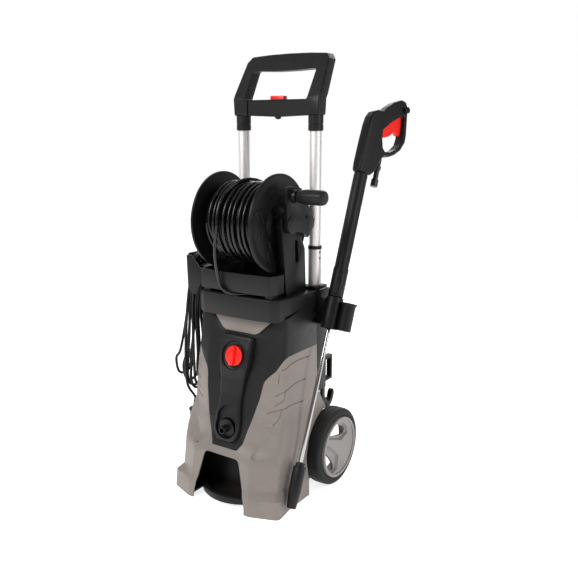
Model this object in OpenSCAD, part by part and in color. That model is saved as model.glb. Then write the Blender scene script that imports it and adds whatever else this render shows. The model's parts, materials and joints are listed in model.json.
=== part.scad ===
// Upright electric pressure washer: housing on two wheels, telescopic push handle,
// hose reel with crank, spray gun with lance in a side holder, and a mains cord on a hook.
// Millimetres. +X is the right-hand side seen from the front, the front faces -Y, +Z is up.
// The origin is on the floor, on the middle plane, under the middle of the footprint.

/* [Housing] */
// Half width of the housing over its side walls
side_half = 128; // [126:1:129]
// Wall thickness of the moulded shells
wall = 3; // [2.5:0.5:3.5]
// Height of the roof of the top cover
roof_z = 498; // [497:1:499]
// Backward lean of the front panel in degrees
panel_lean = 14; // [13:0.5:15]

/* [Wheels] */
// Outer diameter of a tyre
tyre_d = 194; // [188:1:196]
// Distance from the middle plane to the outer face of a tyre
tyre_out = 178; // [175:1:179]
// Width of a tyre
tyre_w = 44; // [40:1:44]
// Diameter of the steel wheel axle
axle_d = 12; // [10:1:14]

/* [Handle] */
// Distance from the middle plane to each handle tube
tube_x = 105; // [104:0.5:106]
// Diameter of the sliding inner tubes
inner_d = 28; // [26:0.5:28]
// Diameter of the fixed outer tubes
outer_d = 32; // [31:0.5:33]
// Top of the fixed outer tubes
outer_top = 599; // [590:1:605]
// Travel of the telescopic handle
handle_travel = 180; // [150:5:180]

/* [Hose reel] */
// Radius of the reel flanges
flange_r = 113.5; // [108:0.5:114]
// Distance from the middle plane to the outer face of a flange
flange_x = 84; // [82:0.5:85]
// Height of the reel axle
reel_z = 664; // [662:1:668]
// Distance from the reel axle to the crank knob
crank_r = 64; // [58:1:66]
// Outer radius of the wound hose
wound_r = 95; // [88:1:100]
// Diameter of the high-pressure hose
hose_d = 8; // [7:0.5:8]

/* [Gun and lance] */
// Backward lean of the stored lance in degrees
lance_lean = 22; // [22:0.5:23]
// Turn of the gun's handle about the lance in degrees
gun_turn = 20; // [15:1:25]
// Diameter of the steel lance tube
lance_d = 10; // [9:0.5:11]

/* [Power cord] */
// Diameter of the power cord
cord_d = 7; // [6:0.5:7]

/* [Hidden] */
$fn = 48;
run_gap = 0.05;    // radial clearance of every running fit
axle_y = 89;
axle_z = tyre_d / 2;
tyre_in = tyre_out - tyre_w;
tube_y = 86;
outer_bottom = 195;
inner_bottom = 480;
inner_top = 935;
rear_y = 58;       // where the grey shell meets the rear frame
back_y = 108;
reel_y = -32;
journal_r = 10;
journal_end = 107;
rim_r = 76;
drum_r = 76;
stand_in = 92;
stand_out = 106;
knob_in = 131;
knob_out = 203;
lance_base = [170, -74, 114.4];
motor_y = -5;
inlet_z = 184;
switch_s = 213;    // distance of the switch up the panel from its lower corner
panel_foot = [0, -137, 144];

// Depth of the front panel's plane at a height
function panel_y(z) = panel_foot[1] + (z - panel_foot[2]) * tan(panel_lean);

// Levels of the housing: height, front y, half width of the front face,
// corner x and y, side x and y, rear y
LEVELS = [[0, -173, 92, 160, -148, 152, -93, 105],
          [42, -169, 90, 158, -145, 151, -92, 105],
          [56, -164, 87, 143, -131, 148, -88, 105],
          [100, -158, 84, 142, -125, 148, -84, 105],
          [125, -155, 82, 143, -121, 148, -82, 105],
          [150, panel_y(150), 64, 144, -115, 147, -76, 105],
          [190, panel_y(190), 66, 141, -100, 144, -64, 88],
          [223, panel_y(223), 71, 137, -86, 138, -54, 72],
          [250, panel_y(250), 76, 136, -83, 136, -50, 60],
          [300, panel_y(300), 86, 134, -80, 132, -45, rear_y],
          [370, panel_y(370), 88, 129, -73, 130, -42, rear_y],
          [480, panel_y(480), 88, 126, -66, side_half, -40, rear_y]];

// Outline of the black front panel seen from the front, right half, from the bottom up
SHIELD = [[43, 144], [65, 215], [79, 271], [84, 302], [108, 331], [120, 354], [131, 368],
          [131, 490]];

// Route of the power cord from the strain relief to the top of the hank
CORD_RUN = [[-60, 131, 420], [-60, 146, 420], [-64, 158, 424], [-74, 168, 436],
            [-90, 172, 455], [-110, 166, 476], [-128, 150, 496], [-140, 126, 516],
            [-147, 98, 535], [-151, 68, 550], [-153, 38, 559], [-153, 10, 562],
            [-153, -10, 562]];
// Route of the short end of the cord from the hank down to the plug
CORD_END = [[-172, -45, 221], [-173, -45, 212], [-174, -45, 200], [-174, -45, 188]];
// Route of the loose end of the hose from the reel into the slot under the tray
HOSE_END = [[-18, -131.6, 664], [-22, -131.5, 640], [-27, -129, 616], [-32, -123, 592],
            [-36, -115, 568], [-37, -109, 547], [-35, -106, 529], [-28, -104, 514.5],
            [-17, -102.8, 506.5], [-3, -98.5, 503.2], [12, -90.5, 502.8], [24, -83.5, 502.8],
            [34, -77.3, 502.8]];
// Route of the pressure pipe from the pump to the reel's swivel
PIPE = [[-50, 14, 185], [-70, 14, 185], [-84, 14, 189], [-94, 14, 201], [-97, 14, 222],
        [-98, 14, 320], [-104, 14, 420], [-112, 12, 470], [-116, 8, 520], [-116, 5, 580],
        [-116, 3, 636], [-116, 1, 650], [-116, -5, 659], [-116, -11, 663.4],
        [-116, -18, 664]];

// ---------- helpers ----------

function cat_mirror(right) = concat(right, [for (i = [len(right) - 1:-1:0])
                                            [-right[i][0], right[i][1]]]);

// Sides of a stack of rings with n points each, as triangles, with both ends closed
function stack_faces(rows, n) = concat(
    [[for (i = [n - 1:-1:0]) i]],
    [for (k = [0:rows - 2], i = [0:n - 1]) [k * n + i, k * n + (i + 1) % n, (k + 1) * n + i]],
    [for (k = [0:rows - 2], i = [0:n - 1])
        [k * n + (i + 1) % n, (k + 1) * n + (i + 1) % n, (k + 1) * n + i]],
    [[for (i = [0:n - 1]) (rows - 1) * n + i]]);

function unit(v) = v / norm(v);

// Points of a round tube swept along a route
function sweep_points(route, r, sides) = [for (i = [0:len(route) - 1])
    let (a = route[max(i - 1, 0)], b = route[min(i + 1, len(route) - 1)],
         t = unit(b - a), side = unit(cross(t, abs(t[0]) > 0.9 ? [0, 0, 1] : [1, 0, 0])),
         up = cross(side, t))
    for (k = [0:sides - 1]) route[i] + r * (cos(360 * k / sides) * side
                                            - sin(360 * k / sides) * up)];

module sweep(route, d, sides = 10)
    polyhedron(sweep_points(route, d / 2, sides), stack_faces(len(route), sides));

module along_x(x0, x1, r) translate([x0, 0, 0]) rotate([0, 90, 0]) cylinder(h = x1 - x0, r = r);

// A solid whose section across Y and Z is a polygon, between two X values
module side_slab(points, x0, x1)
    translate([x0, 0, 0]) rotate([90, 0, 90]) linear_extrude(x1 - x0) polygon(points);

// A solid whose section across X and Z is a polygon, between two Y values
module front_slab(points, y0, y1)
    translate([0, y1, 0]) rotate([90, 0, 0]) linear_extrude(y1 - y0) polygon(points);

module block(x0, x1, y0, y1, z0, z1)
    translate([x0, y0, z0]) cube([x1 - x0, y1 - y0, z1 - z0]);

module both_sides() {
    children();
    mirror([1, 0, 0]) children();
}

module ring(r_out, r_in, h) difference() {
    cylinder(h = h, r = r_out);
    translate([0, 0, -1]) cylinder(h = h + 2, r = r_in);
}

// ---------- housing ----------

function level_ring(l, inset) = cat_mirror([
    [l[2] - inset * 0.8, l[1] + inset], [l[3] - inset, l[4] + inset * 0.6],
    [l[5] - inset, l[6]], [l[5] - inset, l[7] + inset]]);

module housing_mass(inset = 0, over = 0) {
    n = 8;
    last = len(LEVELS) - 1;
    points = [for (k = [0:last], p = level_ring(LEVELS[k], inset))
        [p[0], p[1], LEVELS[k][0] + (k == 0 ? -over : k == last ? over : 0)]];
    polyhedron(points, [for (f = stack_faces(last + 1, n)) [for (i = [len(f) - 1:-1:0]) f[i]]]);
}

module housing_skin() difference() {
    housing_mass();
    housing_mass(wall, 1);
}

module shield_region() front_slab(cat_mirror(SHIELD), -200, 27);

module band_plan(inset = 0) polygon(cat_mirror([
    [0, -98 + inset], [56, -96 + inset], [98 - inset / 2, -92 + inset],
    [118 - inset, -80 + inset / 2], [124 - inset, -46], [side_half - inset, 0],
    [side_half - inset, rear_y]]));

module above_band() side_slab([[-200, 445], [-84, 446], [-60, 454], [rear_y + 2, 482],
                               [rear_y + 2, 520], [-200, 520]], -170, 170);

module band_mass(inset = 0) intersection() {
    translate([0, 0, 430]) linear_extrude(roof_z - 430 - inset) band_plan(inset);
    above_band();
}

module wheel_well(r, x0)
    both_sides() translate([0, axle_y, axle_z]) along_x(x0, 170, r);

// Grey lower shell with the feet, the side walls and the arch at the front
module housing_shell() color([0.53, 0.49, 0.47]) difference() {
    union() {
        housing_skin();
        intersection() {
            housing_mass();
            wheel_well(104, 119);
        }
    }
    shield_region();
    above_band();
    wheel_well(101, 110);
    both_sides() block(110, 170, -6, 120, -1, 97);
    front_slab([[-78, -1], [78, -1], [76, 20], [50, 124], [-50, 124], [-76, 20]], -190, -120);
    block(-119, 119, -10, 110, -1, 40);
    block(-150, 150, rear_y, 110, 240, 500);
    block(-119, 119, rear_y - 1, 120, -1, 241);
    both_sides() block(110, 122, rear_y - 1, 120, outer_bottom - 1, 241);
}

// Black front panel that wraps round both sides under the top cover
module front_panel() color([0.12, 0.12, 0.12]) difference() {
    intersection() {
        housing_skin();
        shield_region();
    }
    above_band();
    in_panel() translate([0, switch_s, -40]) cylinder(h = 60, r = 31);
    translate([0, -100, inlet_z]) rotate([90, 0, 0]) cylinder(h = 60, r = 27);
}

// Places children on the front panel: X right, Y up the panel, Z out of it
module in_panel() translate(panel_foot) rotate([90 - panel_lean, 0, 0]) children();

// Raised strip down the middle of the panel with the switch and inlet recesses
module control_strip() color([0.16, 0.16, 0.16]) difference() {
    in_panel() difference() {
        intersection() {
            linear_extrude(30) polygon(cat_mirror([[27, 8], [32, 30], [32, 120], [36, 165],
                                                   [42, 200], [42, 262]]));
            side_slab([[8, 0], [8, 9], [30, 12], [120, 13], [160, 17], [186, 24], [232, 25],
                       [262, 22], [262, 0]], -50, 50);
        }
        translate([0, switch_s, 12]) cylinder(h = 20, r = 34);
        translate([0, switch_s, -1]) cylinder(h = 30, r = 26);
        translate([0, 44, 4]) cylinder(h = 20, r = 30);
        translate([0, 66, 4]) cylinder(h = 20, r = 28);
    }
    translate([0, -90, inlet_z]) rotate([90, 0, 0]) cylinder(h = 80, r = 24);
}

// Grey trapezoid trim between the panel and the top cover
module trim_insert() color([0.53, 0.49, 0.47]) in_panel()
    linear_extrude(4) polygon(cat_mirror([[44, 276], [50, 280], [86, 307]]));

// Black top cover that closes the housing under the reel
module top_cover() color([0.13, 0.13, 0.13]) difference() {
    band_mass();
    band_mass(wall);
    translate([-114, 10, 480]) cylinder(h = 30, r = 8);
}

// Tray that carries the hose reel; its front lip overhangs the hose slot
module reel_tray() color([0.15, 0.15, 0.15]) difference() {
    union() {
        translate([0, 0, 508]) linear_extrude(44) polygon(cat_mirror([
            [42, -99], [100, -96], [106, -70], [106, -46], [stand_in - 0.5, -43],
            [stand_in - 0.5, 57]]));
        both_sides() block(80, 99, -86, -60, roof_z, 509);
        block(-91, 91, -60, 57, roof_z, 509);
    }
    translate([0, 0, 514]) linear_extrude(44) polygon(cat_mirror([
        [42, -95], [96, -92], [102, -68], [102, -48], [88, -42], [88, 53]]));
}

// Hook on the left of the tray that carries the coiled mains cord
module cord_hook() color([0.11, 0.11, 0.11]) {
    front_slab([[-106, 508], [-106, 545], [-130, 552], [-159, 552], [-162, 578],
                [-168, 578], [-167, 500], [-160, 495], [-130, 502]], -63, -27);
    front_slab([[-106, 512], [-106, 548], [-112, 548], [-112, 512]], -87, -62);
    front_slab([[-139, 578], [-152, 578], [-150, 500], [-136, 484], [-124, 484],
                [-105, 520], [-108, 546], [-126, 564]], -87, -82);
}

// Black back shell between the handle columns
module rear_cover() color([0.12, 0.12, 0.12]) difference() {
    union() {
        block(-86, 86, rear_y, back_y, 190, roof_z);
        block(-119, 119, -8, back_y, 16, 190);
    }
    block(-83, 83, rear_y - 1, back_y - 3, 186, roof_z - 3);
    block(-116, 116, -9, back_y - 3, 15, 187);
    block(-104, 84, -10, rear_y + 1, 150, 191);
    translate([0, axle_y, axle_z]) along_x(-120, 120, axle_d / 2 + 1);
    translate([-60, back_y - 6, 420]) rotate([-90, 0, 0]) cylinder(h = 10, r = 9);
    for (z = [250:14:362])
        block(-50, 50, back_y - 5, back_y + 1, z, z + 6);
}

// Two columns of the rear frame that hold the outer handle tubes
module tube_columns() color([0.1, 0.1, 0.1]) both_sides() difference() {
    union() {
        block(86, 127, rear_y, back_y, 240, 505);
        block(86, 118, rear_y, back_y, 190, 240);
        block(108, 125, back_y - 12, back_y, 190, 240);
    }
    translate([tube_x, tube_y, outer_bottom]) cylinder(h = 400, r = outer_d / 2);
}

// Bottom tray with the axle lugs and the curved sill across the front arch
module base_plate() color([0.1, 0.1, 0.1]) difference() {
    union() {
        intersection() {
            housing_mass(wall + 0.1);
            block(-160, 160, -170, 104, 10, 16);
        }
        translate([0, -60, 16]) intersection() {
            linear_extrude(10) difference() {
                circle(r = 108, $fn = 96);
                circle(r = 96, $fn = 96);
            }
            block(-77, 77, -120, -40, -1, 20);
        }
        block(-112, 112, -96, -93, 16, 145);
        block(-60, 60, -7, 7, 0, 12);
        both_sides() block(98, 112, 66, 103, 16, 120);
        for (a = [45:90:315])
            at_motor(15) rotate(a) translate([34, 0, 0]) cylinder(h = 135, r = 9);
    }
    difference() {
        block(-77, 77, -180, -100, 5, 30);
        translate([0, -60, 0]) cylinder(h = 40, r = 108, $fn = 96);
    }
    both_sides() block(119, 170, -6, 110, 5, 20);
    translate([0, axle_y, axle_z]) along_x(-120, 120, axle_d / 2);
}

module wheel_axle() color("silver") translate([0, axle_y, axle_z]) {
    along_x(-176, 176, axle_d / 2);
}

module outer_tubes() color([0.8, 0.8, 0.82]) both_sides()
    translate([tube_x, tube_y, outer_bottom])
        ring(outer_d / 2, inner_d / 2 + run_gap, outer_top - outer_bottom);

// Hooks on the back of the frame for the hose and the accessories
module rear_hooks() color([0.1, 0.1, 0.1]) both_sides() {
    difference() {
        block(108, 122, back_y, 148, 250, 315);
        block(107, 123, back_y - 1, 141, 258, 307);
    }
    side_slab([[back_y, 208], [119, 208], [122, 199], [133, 191], [143, 198], [148, 214],
               [156, 219], [160, 206], [150, 186], [136, 175], [back_y, 180]], 108, 122);
}

module housing_screws() color([0.2, 0.2, 0.2]) {
    for (x = [-72, 72], z = [212, 400, 480])
        translate([x, back_y, z]) rotate([-90, 0, 0]) cylinder(h = 2.5, r = 4);
    both_sides() for (z = [572, 586])
        translate([tube_x + outer_d / 2 + 0.02, tube_y - 3, z]) rotate([0, 90, 0])
            cylinder(h = 1.2, r = 3);
}

// Collars that guide the inner tubes at the top of the outer ones
module tube_collars() color([0.08, 0.08, 0.08]) both_sides()
    translate([tube_x, tube_y, outer_top - 6]) {
        ring(16.8, outer_d / 2, 6);
        translate([0, 0, 6]) ring(16.8, inner_d / 2 + run_gap, 2);
    }

// ---------- reel ----------

module stand_profile() polygon([[-37, roof_z], [46, roof_z], [40, 600], [20, 640], [-8, 664],
                                [-32, 664], [-56, 656], [-46, 590]]);

module reel_stand() difference() {
    union() {
        translate([stand_in, 0, 0]) rotate([90, 0, 90]) linear_extrude(stand_out - stand_in)
            stand_profile();
        at_reel() along_x(stand_in, stand_out, 25);
        children();
    }
    at_reel() along_x(stand_in - 1, journal_end + 0.5, journal_r + run_gap);
    side_slab([[0, 570], [14, 574], [10, 622], [-2, 626]], stand_in - 1, stand_out + 1);
}

module reel_stand_right() color([0.14, 0.14, 0.14]) reel_stand();

module reel_stand_left() color([0.14, 0.14, 0.14]) mirror([1, 0, 0]) reel_stand() {
    at_reel() along_x(stand_out, 124, 14);
    block(stand_out, 124, reel_y, reel_y + 14, reel_z - 8, reel_z + 8);
}

module at_reel() translate([0, reel_y, reel_z]) children();

// A flange with a dished outer face and a rolled rim
module reel_flange() at_reel() rotate([0, 90, 0]) rotate_extrude($fn = 96)
    polygon([[journal_r + 2, flange_x - 10], [40, flange_x - 12], [92, flange_x - 8],
             [flange_r - 6, flange_x - 6], [flange_r, flange_x - 6], [flange_r, flange_x],
             [flange_r - 5, flange_x], [92, flange_x - 4], [40, flange_x - 8],
             [24, flange_x - 4], [journal_r + 2, flange_x - 4]]);

module reel_flange_right() color([0.13, 0.13, 0.13]) reel_flange();

module reel_flange_left() color([0.13, 0.13, 0.13]) mirror([1, 0, 0]) reel_flange();

// Drum with the journals that turn in both stands
module reel_drum() color([0.1, 0.1, 0.1]) at_reel() {
    difference() {
        along_x(flange_x * -1 + 12, flange_x - 12, drum_r);
        along_x(flange_x * -1 + 15, flange_x - 15, drum_r - 3);
    }
    along_x(-journal_end, -flange_x + 14, journal_r);
    along_x(flange_x - 14, 112, journal_r);
}

// Closed outer shape of the hose that is wound on the drum
module hose_winding() color([0.08, 0.08, 0.08]) at_reel() rotate([0, 90, 0])
    translate([0, 0, -68]) ring(wound_r, drum_r, 136, $fn = 96);

module crank_arm() color([0.13, 0.13, 0.13]) at_reel() difference() {
    union() {
        along_x(107, 121, 20);
        translate([0, 4, crank_r]) along_x(109, knob_in - 0.4, 15);
        side_slab([[-20, 0], [-22, 74], [-21, 86], [8, 85], [36, 80], [52, 60], [66, 41],
                   [93, 4], [90, -13], [66, -36], [50, -24], [14, -17], [-14, -14]], 109, 119);
        translate([0, 4, crank_r]) along_x(118, knob_out - 12, 5);
    }
    along_x(100, 112, journal_r);
}

module crank_knob() color([0.16, 0.16, 0.16]) at_reel() translate([0, 4, crank_r])
    rotate([0, 90, 0]) rotate_extrude()
        polygon([[5 + run_gap, knob_in], [11, knob_in], [14, 136], [17, 150],
                 [17, knob_out - 8], [14, knob_out], [0, knob_out], [0, knob_out - 10],
                 [5 + run_gap, knob_out - 10]]);

// ---------- wheels ----------

module tyre(sign_x) translate([0, axle_y, axle_z]) mirror([sign_x < 0 ? 1 : 0, 0, 0])
    rotate([0, 90, 0]) rotate_extrude($fn = 96)
        polygon([[rim_r, tyre_in + 4], [88, tyre_in], [axle_z - 3, tyre_in + 2],
                 [axle_z, tyre_in + 8], [axle_z, tyre_out - 8], [axle_z - 3, tyre_out - 2],
                 [88, tyre_out], [rim_r, tyre_out - 2]]);

// Spoked rim with a hub bored for the axle
module rim(sign_x) translate([0, axle_y, axle_z]) mirror([sign_x < 0 ? 1 : 0, 0, 0])
    difference() {
        union() {
            rotate([0, 90, 0]) translate([0, 0, tyre_in + 4])
                ring(rim_r, rim_r - 7, tyre_w, $fn = 96);
            along_x(tyre_out - 10, tyre_out + 2, rim_r - 6);
            along_x(tyre_in, tyre_out + 1, 20);
        }
        along_x(tyre_in - 1, tyre_out - 1.5, axle_d / 2 + run_gap);
        side_slab([[33, 34], [29, 44], [17, 51], [-2, 59], [-14, 63], [-28, 62], [-42, 52],
                   [-43, 46], [-20, 34], [8, 27], [26, 25]], tyre_out - 12, tyre_out + 4);
        side_slab([[-66, 6], [-60, 8], [-46, -9], [-34, -22], [-24, -35], [-19, -49],
                   [-24, -54], [-34, -53], [-52, -40], [-63, -22]], tyre_out - 12,
                  tyre_out + 4);
    }

module tyre_left() color([0.1, 0.1, 0.1]) tyre(-1);

module tyre_right() color([0.1, 0.1, 0.1]) tyre(1);

module rim_left() color([0.45, 0.45, 0.45]) rim(-1);

module rim_right() color([0.45, 0.45, 0.45]) rim(1);

// ---------- handle ----------

module inner_tubes() color([0.85, 0.85, 0.87]) both_sides()
    translate([tube_x, tube_y, inner_bottom])
        ring(inner_d / 2, inner_d / 2 - 2, inner_top - inner_bottom);

module tube_sleeves() color([0.12, 0.12, 0.12]) both_sides()
    translate([tube_x, tube_y, 870]) ring(17.8, inner_d / 2, 35);

// Outline of the hand grip from the front, without its opening
module grip_outline() polygon(cat_mirror([[0, 902], [40, 904], [84, 911], [85, 905],
    [122, 905], [125, 955], [117, 1031], [107, 1047], [60, 1050], [0, 1051]]));

// Side profile of the grip between two depths, leaning back above the crossbar
function grip_profile(front, back) = [[front, 900], [front, 944], [front + 63, 1055],
                                      [back + 63, 1055], [back, 948], [back, 900]];

module grip_half(front, back) difference() {
    intersection() {
        rotate([90, 0, 0]) translate([0, 0, -200]) linear_extrude(200) difference() {
            grip_outline();
            polygon(cat_mirror([[89, 942], [92, 1012], [30, 1009]]));
        }
        side_slab(grip_profile(front, back), -130, 130);
    }
    both_sides() translate([tube_x, tube_y, 800]) cylinder(h = 135, r = inner_d / 2);
    block(-20, 20, tube_y - 8, tube_y + 8, 917, 951);
    block(-6, 6, tube_y - 5, tube_y + 5, 907, 920);
}

module handle_front() color([0.14, 0.14, 0.14]) grip_half(69, tube_y);

module handle_rear() color([0.14, 0.14, 0.14]) grip_half(tube_y, 103);

// Release button for the telescopic handle
module handle_button() color([0.9, 0.1, 0.08])
    block(-19.5, 19.5, tube_y - 7.5, tube_y + 7.5, 926, 951);

module button_spring() color("silver") translate([0, tube_y, 907.5])
    ring(4, 3, 18, $fn = 24);

// ---------- switch and water inlet ----------

module switch_body() color([0.2, 0.2, 0.2]) in_panel() translate([0, switch_s, -16])
    difference() {
        cylinder(h = 28, r = 25);
        translate([0, 0, 14]) cylinder(h = 20, r = 6 + run_gap);
    }

module switch_knob() color([0.95, 0.12, 0.08]) in_panel() translate([0, switch_s, 0]) {
    translate([0, 0, 13]) cylinder(h = 6, r = 24);
    translate([0, 0, 19]) intersection() {
        cylinder(h = 9, r = 23);
        translate([-5, -25, 0]) cube([10, 50, 9]);
    }
    translate([0, 0, 3]) cylinder(h = 10, r = 6);
}

// Water inlet with its garden-hose spigot, screwed into the pump
module inlet_fitting() color([0.25, 0.25, 0.25]) translate([0, -62, inlet_z])
    rotate([90, 0, 0]) difference() {
        union() {
            cylinder(h = 72, r = 12);
            translate([0, 0, 62]) cylinder(h = 10, r = 22);
            translate([0, 0, 72]) cylinder(h = 18, r = 9);
        }
        translate([0, 0, -1]) cylinder(h = 100, r = 6);
    }

// ---------- motor and pump ----------

module at_motor(z) translate([0, motor_y, z]) children();

module motor_case() color([0.6, 0.6, 0.6]) at_motor(250) difference() {
    cylinder(h = 125, r = 57);
    translate([0, 0, 5]) cylinder(h = 115, r = 52);
    translate([0, 0, -1]) cylinder(h = 130, r = 7 + run_gap);
}

module motor_shaft() color("silver") at_motor(0) {
    translate([0, 0, 222.4]) cylinder(h = 188, r = 7);
    translate([0, 0, 262]) cylinder(h = 96, r = 38);
}

module cooling_fan() color([0.15, 0.15, 0.15]) at_motor(380) {
    ring(18, 7, 22);
    for (a = [0:45:315]) rotate(a) translate([0, -1.5, 0]) block(17, 52, 0, 3, 2, 20);
    ring(54, 51, 20);
}

module swash_plate() color("silver") at_motor(0) difference() {
    translate([0, 0, 232]) rotate([6, 0, 0]) cylinder(h = 8, r = 34);
    translate([0, 0, 200]) cylinder(h = 60, r = 7);
}

module gearbox_housing() color([0.65, 0.65, 0.65]) at_motor(212) difference() {
    cylinder(h = 38, r = 48);
    translate([0, 0, 10]) cylinder(h = 30, r = 43);
}

module pump_head() color([0.7, 0.7, 0.7]) difference() {
    union() {
        at_motor(150) cylinder(h = 62, r = 42);
        block(-26, 26, -62, -20, 158, 210);
        translate([0, 14, 185]) along_x(-50, -20, 9);
    }
    translate([0, -50, inlet_z]) rotate([90, 0, 0]) cylinder(h = 20, r = 7);
}

module outlet_hose() color([0.12, 0.12, 0.12]) sweep(PIPE, 11, 10);

// ---------- gun and lance ----------

// Places children on the lance: Z up the lance, Y towards the gun's handle
module at_lance() translate(lance_base) rotate([-lance_lean, 0, 0])
    rotate([0, 0, -gun_turn]) children();

// A plate of the gun's outline between two depths, points given across and up the lance
module gun_slab(points, x0, x1) translate([x0, 0, 0]) rotate([90, 0, 90])
    linear_extrude(x1 - x0) polygon(points);

GUN_OUTLINE = [[-19, 706], [19, 706], [32, 722], [38, 744], [50, 766], [66, 769], [83, 780],
               [100, 798], [110, 822], [109, 842], [103, 874], [99, 895], [94, 912],
               [86, 921], [72, 921], [51, 907], [33, 888], [20, 871], [4, 869], [-8, 861],
               [-15, 846], [-18, 825], [-20, 780], [-21, 730]];
GUN_HOLE = [[30, 826], [32, 806], [40, 784], [50, 777], [66, 782], [84, 795], [97, 814],
            [99, 832], [97, 852], [94, 870], [92, 880], [84, 884], [54, 856], [36, 834]];
TRIGGER_SLOT = [[13, 850], [13, 832], [20, 818], [32, 811], [60, 840], [92, 866], [93, 880],
                [88, 888], [79, 896], [66, 903], [40, 880], [24, 858]];
TRIGGER = [[17, 842], [20, 829], [30, 818], [42, 811], [60, 821], [75, 838], [84, 832],
           [92, 834], [94, 840], [91, 866], [86, 884], [80, 888], [50, 868], [30, 852]];
trigger_pin = [22, 838];

module gun_half(x0, x1) at_lance() difference() {
    gun_slab(GUN_OUTLINE, x0, x1);
    gun_slab(GUN_HOLE, -20, 20);
    gun_slab(TRIGGER_SLOT, -5.5, 5.5);
    gun_slab([[-6, 700], [6, 700], [6, 800], [-6, 800]], -6, 6);
    translate([0, trigger_pin[0], trigger_pin[1]]) {
        along_x(-12.5, 12.5, 3 + run_gap);
        along_x(5, 9.5, 6);
    }
    translate([0, 87, 898]) along_x(-20, 20, 4.5);
    translate([0, 48, 700]) cylinder(h = 60, r = 6.5);
}

module gun_shell_left() color([0.12, 0.12, 0.12]) gun_half(-15, 0);

module gun_shell_right() color([0.12, 0.12, 0.12]) gun_half(0, 15);

module gun_trigger() color([0.95, 0.12, 0.08]) at_lance() {
    gun_slab(TRIGGER, -5, 5);
    translate([0, trigger_pin[0], trigger_pin[1]]) along_x(-12, 12, 3);
}

module trigger_spring() color("silver") at_lance()
    translate([5, trigger_pin[0], trigger_pin[1]]) rotate([0, 90, 0]) ring(4.8, 3.6, 4);

module safety_button() color([0.1, 0.1, 0.1]) at_lance() translate([0, 87, 898]) {
    along_x(-15.6, 24.4, 4.5 - run_gap);
    along_x(20.4, 24.4, 8);
}

module gun_inlet() color([0.3, 0.3, 0.3]) at_lance() translate([0, 48, 0]) {
    translate([0, 0, 706]) cylinder(h = 54, r = 6.5);
    translate([0, 0, 731]) cylinder(h = 9, r = 8.5);
    translate([0, 0, 688]) cylinder(h = 18, r = 9);
}

module lance_extension() color([0.13, 0.13, 0.13]) at_lance() difference() {
    union() {
        translate([0, 0, 470]) cylinder(h = 236, r = 17);
        translate([0, 0, 398]) cylinder(h = 72, r = 18.5);
        translate([0, 0, 350]) cylinder(h = 48, r = 15);
    }
    translate([0, 0, 349]) cylinder(h = 60, r = lance_d / 2);
}

module lance_tube() color("silver") at_lance() cylinder(h = 409, r = lance_d / 2);

module spray_nozzle() color([0.1, 0.1, 0.1]) at_lance() difference() {
    union() {
        translate([0, 0, -6]) cylinder(h = 8, r = 11);
        translate([0, 0, -60]) cylinder(h = 54, r = 15);
        translate([0, 0, -102]) cylinder(h = 42, r1 = 11, r2 = 15);
    }
    cylinder(h = 10, r = lance_d / 2 + run_gap);
    translate([0, 0, -103]) cylinder(h = 20, r = 6);
}

// Side bracket: an open cup that the lance stands in, and a pocket for a spare nozzle
module lance_holder() color([0.12, 0.12, 0.12]) {
    at_lance() rotate([0, 0, gun_turn]) difference() {
        union() {
            translate([0, 0, 322]) cylinder(h = 75, r = 21);
            translate([38, 4, 322]) cylinder(h = 66, r = 17);
            translate([38, 4, 380]) cylinder(h = 8, r1 = 17, r2 = 20);
            block(-40.6, -14, -6, 17, 330, 392);
            block(10, 40, 0, 8, 326, 384);
        }
        translate([0, 0, 300]) cylinder(h = 120, r = 16);
        translate([38, 4, 326]) cylinder(h = 80, r = 13.5);
        translate([0, 0, 300]) rotate(-135) block(0, 40, -8, 8, 0, 120);
    }
    block(127, 138, rear_y + 4, 100, 440, 500);
}

// ---------- cords and hose ----------

module hose_tail() color([0.08, 0.08, 0.08]) sweep(HOSE_END, hose_d, 10);

module hose_connector() color([0.3, 0.3, 0.3]) translate([34.4, -77.05, 502.8])
    rotate([0, 90, 32]) cylinder(h = 14, r = 4.6);

module strain_relief() color([0.08, 0.08, 0.08]) translate([-60, back_y - 5, 420])
    rotate([-90, 0, 0]) {
        cylinder(h = 5, r = 9);
        translate([0, 0, 5]) cylinder(h = 23, r1 = 8, r2 = cord_d / 2 + 1.5);
    }

module power_cord() color([0.07, 0.07, 0.07]) sweep(CORD_RUN, cord_d, 10);

// Closed outer shape of the cord's loops, hung over the hook's arm
module cord_hank() color([0.07, 0.07, 0.07]) difference() {
    front_slab([[-136, 568], [-134, 562], [-136, 330], [-138, 290], [-142, 240], [-158, 222],
                [-182, 222], [-200, 246], [-207, 290], [-188, 455], [-161, 492], [-159, 500],
                [-159, 562], [-156, 568]], -80, -10);
    block(-180, -125, -63, -27, 490, 552);
}

module cord_tail() color([0.07, 0.07, 0.07]) sweep(CORD_END, cord_d, 10);

module mains_plug() color([0.08, 0.08, 0.08]) translate([-174, -45, 188]) mirror([0, 0, 1]) {
    cylinder(h = 18, r1 = 6, r2 = 9);
    translate([0, 0, 18]) cylinder(h = 24, r = 18);
    for (x = [-9.5, 9.5]) translate([x, 0, 42]) cylinder(h = 19, r = 2.4);
}

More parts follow.
